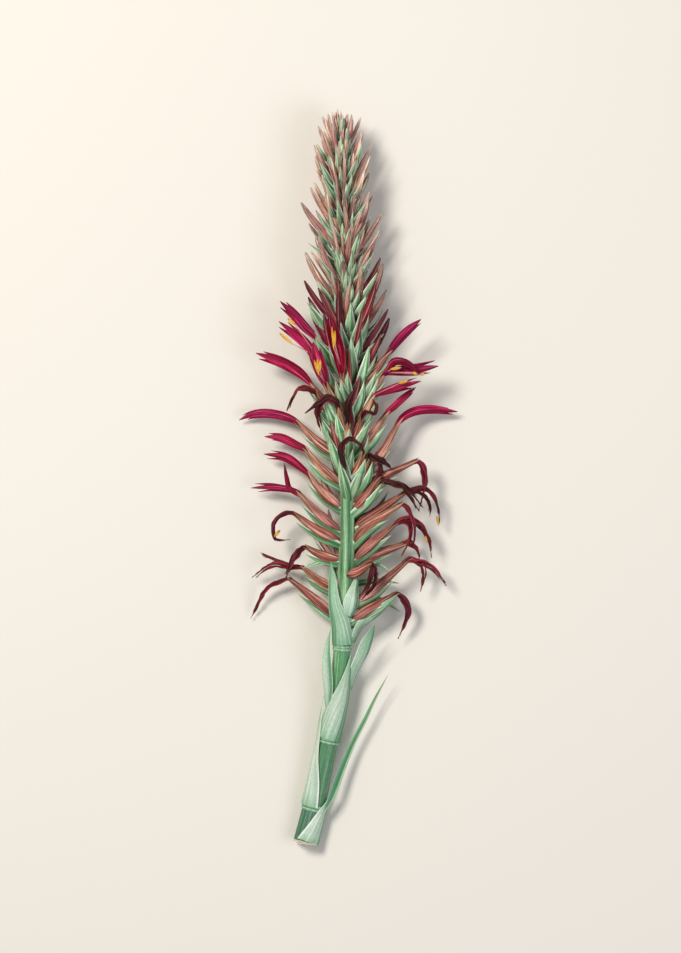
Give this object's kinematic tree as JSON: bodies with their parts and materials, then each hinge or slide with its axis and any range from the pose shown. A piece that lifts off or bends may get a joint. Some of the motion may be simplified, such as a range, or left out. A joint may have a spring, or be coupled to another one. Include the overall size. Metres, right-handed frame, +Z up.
{
  "type": "pitcairnia flower spike",
  "caption": "Cut bromeliad flower spike lying down: green scape with pale sheath bracts, crimson and withered flowers, and a dense tapering spike of bracts and pink buds",
  "frame": {"origin": "on the resting surface, under the middle of the spike's bounding box", "axes": "+Y runs along the stalk from its cut end to its tip, +Z is up and faces the viewer, +X is to the right of the plate"},
  "size_m": [0.132, 0.441, 0.058],
  "materials": {
    "stalk": "matte",
    "sheath": "matte",
    "leaf": "matte",
    "calyx": "matte",
    "petal": "satin",
    "spent": "matte",
    "anther": "matte"
  },
  "bodies": {
    "root": {"corolla_01": "petal", "corolla_02": "petal", "corolla_03": "petal", "corolla_04": "petal", "corolla_05": "petal", "corolla_06": "petal", "corolla_07": "petal", "corolla_08": "petal", "corolla_09": "petal", "corolla_10": "petal", "corolla_11": "petal", "corolla_12": "petal", "corolla_13": "petal", "corolla_14": "petal", "calyx_01": "calyx", "calyx_02": "calyx", "calyx_03": "calyx", "calyx_04": "calyx", "calyx_05": "calyx", "calyx_06": "calyx", "calyx_07": "calyx", "calyx_08": "calyx", "calyx_09": "calyx", "calyx_10": "calyx", "calyx_11": "calyx", "calyx_12": "calyx", "calyx_13": "calyx", "calyx_14": "calyx", "spent_flower_01": "spent", "spent_flower_02": "spent", "spent_flower_03": "spent", "spent_flower_04": "spent", "spent_flower_05": "spent", "spent_flower_06": "spent", "spent_flower_07": "spent", "spent_flower_08": "spent", "spent_flower_09": "spent", "spent_flower_10": "spent", "spent_flower_11": "spent", "spent_flower_12": "spent", "spent_flower_13": "spent", "spent_flower_14": "spent", "spent_flower_15": "spent", "spent_flower_16": "spent", "spent_flower_17": "spent", "spent_flower_18": "spent", "spent_flower_19": "spent", "spent_flower_20": "spent", "resting_flower_1": "spent", "resting_flower_2": "spent", "resting_flower_3": "spent", "basal_leaf": "leaf", "sheath_bract_1": "sheath", "sheath_bract_2": "sheath", "sheath_bract_3": "sheath", "sheath_bract_4": "sheath", "sheath_bract_5": "sheath", "sheath_bract_6": "sheath", "sheath_bract_7": "sheath", "flower_stalk": "stalk"}
  },
  "joints": []
}
